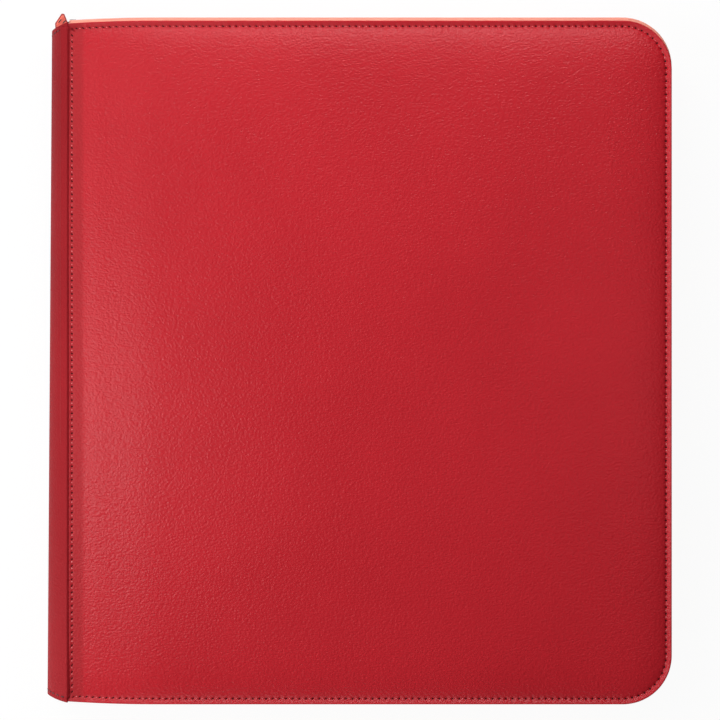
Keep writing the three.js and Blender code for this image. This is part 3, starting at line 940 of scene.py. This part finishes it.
# ------------------------------------------------------------------ zip
@dataclass
class Zip:
    """Tapes, coils and the folded end tab."""

    layout: Layout
    thickness: float = 0.5
    swell: float = 1.9
    coil_gap: float = 1.2
    coil_pitch: float = 1.5
    coil_inset: float = 2.27
    coil_half: tuple = (0.5, 1.02)
    coil_wire: float = 0.26
    coil_middle: float = 1.3
    tape_foot: float = 9.0
    coil_foot: float = 11.0
    slider_room: float = 9.3

    def run(self, side: Side, inset: float, spacing: float) -> tuple[np.ndarray, np.ndarray]:
        """Stations round the free edges for one side's tape."""
        low = np.array(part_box(f"zip_tape_{side.value}")[0]) / MM
        foot = self.layout.crease + self.tape_foot
        head = float(low[0]) if side is Side.BACK else self.layout.crease + 0.6
        return self.layout.edge_path(inset, head, foot, spacing)

    def tape(self, side: Side, cloth: Any) -> bpy.types.Object:
        """A tape: its line leaves the lip, turns over a soft bulge and runs in to the chain.

        The line is the same at every station, swelling outwards towards the head with the way out's Y. Both faces
        are the line moved half the thickness each way.
        """
        path, out = self.run(side, 0.0, 3.0)
        line = np.array([[-4.9, 2.9], [-3, 2.9], [-1.2, 2.9], [-0.45, 2.98], [-0.15, 3.3], [-0.1, 4.0], [-0.12, 4.8],
                         [-0.35, 6.0], [-0.9, 7.6], [-1.9, 9.6], [-2.8, 11.4], [-3.4, 12.9], [-3.6, 14.2],
                         [-3.6, 16.2], [-3.6, 18.25]])
        way = np.gradient(line, axis=0)
        way /= np.linalg.norm(way, axis=1, keepdims=True)
        normal = np.stack([way[:, 1], -way[:, 0]], -1)
        half = self.thickness / 2
        section = np.vstack([line + normal * half, (line - normal * half)[::-1]])
        head = np.clip(out[:, 1], 0, None)[:, None]
        grow = head * np.clip(section[:, 0] + 1.0, 0, None)[None] * (self.swell - 0.15) / 1.15
        reach = section[:, 0][None] + grow
        points = np.empty((len(path), len(section), 3))
        points[..., :2] = path[:, None] + out[:, None] * reach[..., None]
        points[..., 2] = section[None, :, 1]
        x, z = points[..., 0], points[..., 2]
        if side is Side.BACK:
            points[..., 2] = np.where(x < self.layout.crease + 0.2, np.maximum(z, 8.9), z)
        else:
            over_slider = (x < self.layout.crease + self.slider_room) & (points[..., 1] > 0)
            points[..., 2] = np.where(over_slider, np.minimum(z, 12.2), z)
            drawn = self.layout.drawn_in(points)[..., 1]
            share = np.clip(1.6 - z / 8.0, 0, 1)
            points[..., 1] += share * (drawn - points[..., 1])
        made = Surface.capped(self.layout.turned(points, side)).build(f"tape_{side.value}", cloth, "zip_fabric")
        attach(made, f"{side.value}_cover")
        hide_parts(f"zip_tape_{side.value}")
        return made

    def coil(self, side: Side, nylon: Any) -> bpy.types.Object:
        """A coil: a helix whose turn is an ellipse across the path, as a thin tube."""
        low = np.array(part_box(f"zip_coil_{side.value}")[0]) / MM
        turn_points = 9
        foot = self.layout.crease + self.coil_foot
        head, spacing = float(low[0]) + 0.5, self.coil_pitch / turn_points
        path, out = self.layout.edge_path(self.coil_inset, head, foot, spacing)
        angle = np.arange(len(path)) * (2 * math.pi / turn_points)
        centre = self.layout.middle - self.coil_gap / 2 - self.coil_middle
        reach = self.coil_half[0] * np.cos(angle)
        points = np.empty((len(path), 3))
        points[:, :2] = path + out * reach[:, None]
        points[:, 2] = centre + self.coil_half[1] * np.sin(angle)
        sideways = np.column_stack([out * np.cos(angle)[:, None], np.sin(angle)])
        wire, way = self.layout.turned(points, side), self.layout.turned_way(sideways, side)
        surface = tube(wire, way, self.coil_wire, 5)
        made = surface.build(f"coil_{side.value}", nylon, "zip_coil")
        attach(made, f"{side.value}_cover")
        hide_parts(f"zip_coil_{side.value}")
        return made

    def end_tab(self, cloth: Any, thread: Any, hem_shade_finish: Any) -> list[bpy.types.Object]:
        """The tape's folded end at the head: a soft leaf with rounded edges and two dark stitches.

        The outline runs up both sides to a blunt tip, and a thin tube follows it as the hem, coloured dark red as
        painted shade along the tab's edge.
        """
        low, high = (np.array(c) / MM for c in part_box("zip_end_tab_head"))
        low[0] += 0.9
        high[1] -= 1.2
        width = high[0] - low[0]
        outline = np.array([
            [high[0], low[1]], [high[0], high[1] - 5.8], [high[0] - 0.42 * width + 0.5, high[1] - 0.5],
            [high[0] - 0.42 * width - 0.5, high[1] - 0.4], [low[0], high[1] - 5.2], [low[0] + 0.6, low[1]],
        ])
        closed = np.vstack([outline, outline[:1]])
        t = np.linspace(0, len(outline), 96, endpoint=False)
        x = np.interp(t, np.arange(len(closed)), closed[:, 0])
        y = np.interp(t, np.arange(len(closed)), closed[:, 1])
        edge = np.stack([x, y], -1)
        middle = (low[2] + high[2]) / 2
        tab = soft_leaf(edge, low[2], high[2]).build("end_tab_fold", cloth, "zip_fabric")
        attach(tab, "spine")
        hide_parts("zip_end_tab_head")
        z = high[2] + 0.02
        centres = np.array([[low[0] + 2.3, high[1] - 3.9, z], [high[0] - 2.0, high[1] - 4.4, z]])
        ways = np.array([[0.62, 0.78, 0.0], [0.62, 0.78, 0.0]])
        ups = np.tile([[0.0, 0.0, 1.0]], (2, 1))
        marks = beads(centres, ways, ups, (1.3, 0.26, 0.2), 9).build("end_tab_stitches", thread, "zip_fabric")
        hem_path = np.column_stack([np.vstack([edge, edge[:1]]), np.full(len(edge) + 1, middle + 0.35)])
        # Painted shade: the hem tube's dark red stands for the shade along the tab's edge.
        hem = tube(hem_path, np.array([[0.0, 0.0, 1.0]]), 0.3, 8).build("end_tab_hem", hem_shade_finish, "zip_fabric")
        for piece in (marks, hem):
            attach(piece, "spine")
        return [tab, marks, hem]

    def foot_tab(self, cloth: Any, thread: Any) -> list[bpy.types.Object]:
        """The tapes' folded end at the foot: a soft leaf over a squared oval, with a row of stitches across it.

        The oval's sine and cosine are raised to a small power, which squares it.
        """
        low, high = (np.array(c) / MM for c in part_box("zip_end_tab_foot"))
        middle, half = (low + high) / 2, (high - low) / 2
        t = np.arange(96) * (2 * math.pi / 96)
        turn = np.stack([np.cos(t), np.sin(t)], -1)
        edge = middle[:2] + half[:2] * np.sign(turn) * np.abs(turn) ** 0.35
        tab = soft_leaf(edge, low[2], high[2]).build("foot_tab_fold", cloth, "zip_fabric")
        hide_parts("zip_end_tab_foot")
        x = np.linspace(low[0] + 1.2, high[0] - 1.2, 4)
        row = np.column_stack([x, np.full(4, middle[1]), np.full(4, high[2] - 0.02)])
        under = row * [1.0, 1.0, 0.0] + [0.0, 0.0, low[2] + 0.02]
        centres = np.vstack([row, under])
        ways = np.tile([[1.0, 0.0, 0.0]], (8, 1))
        marks = beads(centres, ways, np.tile([[0.0, 0.0, 1.0]], (8, 1)), (0.7, 0.22, 0.16))
        marks_made = marks.build("foot_tab_stitches", thread, "zip_fabric")
        for piece in (tab, marks_made):
            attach(piece, "spine")
        return [tab, marks_made]

    def pull_sleeve(self, leather: Any, thread: Any) -> list[bpy.types.Object]:
        """The leather sleeve on the pull: a soft leaf with a round far end, sewn along its edge on both faces."""
        low, high = (np.array(c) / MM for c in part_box("zip_pull_sleeve"))
        radius = (high[2] - low[2]) / 2
        middle, right = (high[2] + low[2]) / 2, high[0] - radius
        turn = np.linspace(-math.pi / 2, math.pi / 2, 40)
        tip = np.stack([right + radius * np.cos(turn), middle + radius * np.sin(turn)], -1)
        run = np.linspace(right, low[0] + 0.6, 16)[1:]
        end = np.linspace(high[2] - 0.6, low[2] + 0.6, 10)
        edge = np.vstack([
            tip, np.stack([run, np.full(15, high[2])], -1), np.stack([np.full(10, low[0]), end], -1),
            np.stack([run[::-1], np.full(15, low[2])], -1),
        ])
        form = soft_leaf(edge, low[1], high[1], 12.0)
        form.points = form.points[:, [0, 2, 1]]
        sleeve = form.build("pull_sleeve", leather, "leatherette")
        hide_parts("zip_pull_sleeve")
        inner = edge.mean(axis=0) + 0.80 * (edge - edge.mean(axis=0))
        run_length = np.concatenate([[0.0], np.cumsum(np.linalg.norm(np.diff(inner, axis=0), axis=1))])
        places = np.arange(0.8, run_length[-1], 1.7)
        flat = np.stack([np.interp(places, run_length, inner[:, k]) for k in range(2)], -1)
        way = np.stack([np.interp(places + 0.2, run_length, inner[:, k]) for k in range(2)], -1) - flat
        way /= np.linalg.norm(way, axis=1, keepdims=True)
        rows = [np.insert(flat, 1, y, axis=1) for y in (low[1] + 0.10, high[1] - 0.10)]
        ways = np.tile(np.insert(way, 1, 0.0, axis=1), (2, 1))
        ups = np.tile([[0.0, 1.0, 0.0]], (len(ways), 1))
        sewn = beads(np.vstack(rows), ways, ups, (0.55, 0.16, 0.13))
        marks = sewn.build("sleeve_stitches", thread, "leatherette")
        for piece in (sleeve, marks):
            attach(piece, "pull")
        return [sleeve, marks]


# ------------------------------------------------------------------ leaves
@dataclass
class Leaf:
    """The clear pockets welded to both faces of one leaf."""

    number: int
    columns: int = 4
    rows: int = 3
    pocket: tuple = (66.0, 92.0)
    weld: tuple = (1.0, 2.0)
    thickness: float = 1.0

    def pocket_film(self, x0: float, y0: float, z: float, face: float) -> Surface:
        """A pocket's film: a shallow closed pillow, its rise the product of two bows of sines."""
        u, v = np.linspace(0, 1, 7), np.linspace(0, 1, 8)
        gu, gv = np.meshgrid(u, v)
        rise = 0.10 * np.sqrt(np.clip(np.sin(math.pi * gu) * np.sin(math.pi * gv), 0, 1))
        x, y = x0 + gu * self.pocket[0], y0 + gv * self.pocket[1]
        outer = np.stack([x, y, z + face * (rise - 0.12)], -1)
        inner = np.stack([x, y, z + face * (rise - 0.18)], -1)
        closed = np.concatenate([outer, inner[:, ::-1]], axis=1)
        return Surface.capped(closed)

    def build(self, film: Any) -> bpy.types.Object:
        """All the films of the leaf as one piece."""
        node = f"page_{self.number:02d}"
        low, high = (np.array(c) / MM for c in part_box(node))
        rising = self.number <= 10
        centre = (high[2] if rising else low[2]) + (-0.5 if rising else 0.5) * self.thickness
        step_x, step_y = self.pocket[0] + self.weld[0], self.pocket[1] + self.weld[1]
        left = high[0] - self.columns * step_x
        parts = []
        for column in range(self.columns):
            for row in range(self.rows):
                y0 = (row - self.rows / 2) * step_y + self.weld[1] / 2
                for face in (1.0, -1.0):
                    z = centre + face * self.thickness / 2
                    parts.append(self.pocket_film(left + column * step_x, y0, z, face))
        made = Surface.merged(parts).build(f"films_{self.number:02d}", film, "leaf")
        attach(made, f"leaf_{self.number:02d}")
        return made


# ------------------------------------------------------------------ studio
@dataclass
class Studio:
    """Floor, lights and camera."""

    scale: float = 0.5102
    distance: float = 2000.0
    camera_x: float = 0.25
    camera_y: float = 1.25
    sensor: float = 36.0
    image: int = 720

    def softbox(self, name: str, place: tuple, aim: tuple, size: tuple, power: float) -> None:
        """An area lamp at a place, facing a point."""
        data = bpy.data.lights.new(name, "AREA")
        data.shape = "RECTANGLE"
        data.size, data.size_y = size
        data.energy = power
        lamp = bpy.data.objects.new(name, data)
        bpy.context.scene.collection.objects.link(lamp)
        lamp.location = place
        way = Vector(aim) - Vector(place)
        lamp.rotation_euler = way.to_track_quat("-Z", "Y").to_euler()

    def floor(self) -> None:
        """A wide pale floor that the camera sees near white, with the object's shadow kept."""
        mesh = bpy.data.meshes.new("floor")
        reach = 3.0
        mesh.from_pydata([(-reach, -reach, 0), (reach, -reach, 0), (reach, reach, 0), (-reach, reach, 0)], [],
                         [(0, 1, 2, 3)])
        made = bpy.data.objects.new("floor", mesh)
        bpy.context.scene.collection.objects.link(made)
        r = Recipe("floor_paper")
        r.surface.inputs["Base Color"].default_value = rgba(0.9, 0.9, 0.9)
        r.surface.inputs["Roughness"].default_value = 0.9
        glow = r.nodes.new("ShaderNodeEmission")
        glow.inputs[0].default_value = rgba(1, 1, 1)
        glow.inputs[1].default_value = 1.0
        seen = r.node("ShaderNodeLightPath", {}, {}, "Is Camera Ray")
        shade = r.nodes.new("ShaderNodeMixShader")
        r.feed(shade.inputs[0], seen * 0.94)
        r.links.new(r.surface.outputs[0], shade.inputs[1])
        r.links.new(glow.outputs[0], shade.inputs[2])
        r.links.new(shade.outputs[0], r.nodes["Material Output"].inputs[0])
        mesh.materials.append(r.material)

    def world(self, strength: float) -> None:
        """A plain white room."""
        world = bpy.data.worlds.new("studio")
        world.use_nodes = True
        nodes, links = world.node_tree.nodes, world.node_tree.links
        background = nodes["Background"]
        background.inputs[0].default_value = rgba(1, 1, 1)
        path = nodes.new("ShaderNodeLightPath")
        mix = nodes.new("ShaderNodeMix")
        mix.inputs[2].default_value = strength
        mix.inputs[3].default_value = 1.0
        links.new(path.outputs["Is Camera Ray"], mix.inputs[0])
        links.new(mix.outputs[0], background.inputs[1])
        bpy.context.scene.world = world

    def camera(self, top: float) -> None:
        """A camera looking straight down at the front cover.

        Args:
            top: height of the front cover, in millimetres.
        """
        data = bpy.data.cameras.new("camera")
        data.sensor_width = self.sensor
        data.lens = self.sensor * self.distance / (self.scale * self.image)
        data.clip_end = 20.0
        made = bpy.data.objects.new("camera", data)
        made.location = (self.camera_x * MM, self.camera_y * MM, (self.distance + top) * MM)
        bpy.context.scene.collection.objects.link(made)
        bpy.context.scene.camera = made

    def build(self, top: float) -> None:
        """Set the whole studio."""
        self.floor()
        self.world(0.10)
        self.softbox("key_head", (-0.30, 0.95, 0.28), (0.0, 0.10, 0.03), (1.0, 0.3), 5.6)
        self.softbox("fill_foot", (-0.35, -0.95, 0.62), (0.0, -0.1, 0.03), (0.9, 0.4), 3.8)
        self.softbox("fill_left", (-0.75, 0.05, 0.90), (-0.05, 0.0, 0.03), (0.5, 0.8), 4.0)
        self.softbox("glow_left", (-0.225, -0.045, 0.36), (-0.12, -0.035, 0.036), (0.05, 0.10), 0.33)
        self.softbox("spine_foot", (-0.50, -0.27, 0.10), (-0.155, -0.15, 0.02), (0.08, 0.16), 0.75)
        self.softbox("glow_right", (0.205, -0.02, 0.40), (0.14, -0.02, 0.036), (0.04, 0.10), 0.06)
        self.softbox("glow_head", (0.03, 0.43, 0.46), (0.03, 0.16, 0.036), (0.42, 0.05), 1.6)
        self.camera(top)
        bpy.context.scene.view_settings.view_transform = "Standard"


# ------------------------------------------------------------------ main
def dress(node: str, finish: Any) -> None:
    """Give a CAD node its finish."""
    made = bpy.data.objects[node]
    made.data.materials.clear()
    made.data.materials.append(finish)


def main() -> None:
    """Build the pieces in order."""
    logging.basicConfig(level=logging.INFO, format="%(message)s")
    layout = Layout()
    leather = Leatherette(crease=layout.crease * MM).make()
    # Painted shade: the spine and the folds wear a darker copy of the red leatherette, standing for the same leather
    # in shade.
    spine_leather_painted_shade = Leatherette("red_leatherette_spine_painted_shade", deep=(0.262, 0.0095, 0.0140), bright=(0.290, 0.0110, 0.0160),
                       roughness=0.62, specular=0.08, band=0.0)
    fold_leather_painted_shade = replace(spine_leather_painted_shade, name="red_leatherette_fold_painted_shade", seam=False).make()
    plain = Leatherette(name="red_leatherette_plain", seam=False).make()
    lining = Weave("black_lining", (0.006, 0.006, 0.007), (0.022, 0.022, 0.025)).make()
    tab_cloth = Weave("coral_ribbon", (0.66, 0.10, 0.07), (0.86, 0.20, 0.14), 0.0005).make()
    # Partly painted highlight: the coral tape is paled towards cream for the glare along its edge.
    tape_cloth_painted_highlight = Weave("coral_tape_painted_highlight", (0.72, 0.17, 0.11), (0.88, 0.36, 0.26), 0.0005, 0.6, 0.6).make()
    # Partly painted highlight: the red thread is paled to pink to give its glints.
    thread = Moulded("thread_pink_painted_glint", (0.70, 0.20, 0.20), (0.82, 0.32, 0.31), 0.3).make()
    dark_thread = Moulded("dark_thread", (0.03, 0.02, 0.03), (0.06, 0.04, 0.05), 0.6).make()
    # Painted shade: dark red for the shade along the end tab's edge.
    hem_painted_shade = Moulded("hem_painted_shade", (0.30, 0.03, 0.03), (0.40, 0.05, 0.05), 0.6).make()
    slot_thread = Moulded("slot_thread", (0.055, 0.004, 0.007), (0.085, 0.008, 0.012), 0.6).make()
    foam = Moulded("padding_foam", (0.62, 0.60, 0.54), (0.74, 0.72, 0.66), 0.9, 700.0, 0.0003).make()
    board = Moulded("grey_board", (0.19, 0.16, 0.13), (0.27, 0.24, 0.20), 0.9, 500.0, 0.0001).make()
    leaf_black = Moulded("black_leaf", (0.010, 0.010, 0.012), (0.018, 0.018, 0.021), 0.42, 2400.0).make()
    nylon = Moulded("coral_nylon", (0.50, 0.035, 0.040), (0.60, 0.055, 0.055), 0.32).make()
    nickel = Nickel().make()
    film = ClearFilm().make()

    made: list[bpy.types.Object] = []
    for side in Side:
        cover = CoverShell(layout, side)
        made += cover.build(leather, foam, lining)
        made.append(cover.stitches(thread))
    spine = Spine(layout)
    made += spine.build(spine_leather_painted_shade.make(), board, lining)
    made.append(spine.end_stitches(slot_thread))
    made += [spine.fold(side, fold_leather_painted_shade) for side in Side]
    zip_parts = Zip(layout)
    for side in Side:
        made += [zip_parts.tape(side, tape_cloth_painted_highlight), zip_parts.coil(side, nylon)]
    made += zip_parts.end_tab(tab_cloth, dark_thread, hem_painted_shade)
    made += zip_parts.foot_tab(tab_cloth, dark_thread)
    made += zip_parts.pull_sleeve(plain, thread)
    for number in range(1, 21):
        made.append(Leaf(number).build(film))
        dress(f"page_{number:02d}", leaf_black)
    for node in ("back_cover_board", "front_cover_board"):
        dress(node, board)
    dress("binding_strip", lining)
    for node in ("zip_slider", "zip_pull", "zip_stop_back_foot", "zip_stop_back_head", "zip_stop_front_foot"):
        dress(node, nickel)
    for piece in made:
        LOG.info("%s: %d faces", piece.name, len(piece.data.polygons))
    Studio().build(layout.thickness)


if __name__ == "__main__":
    main()
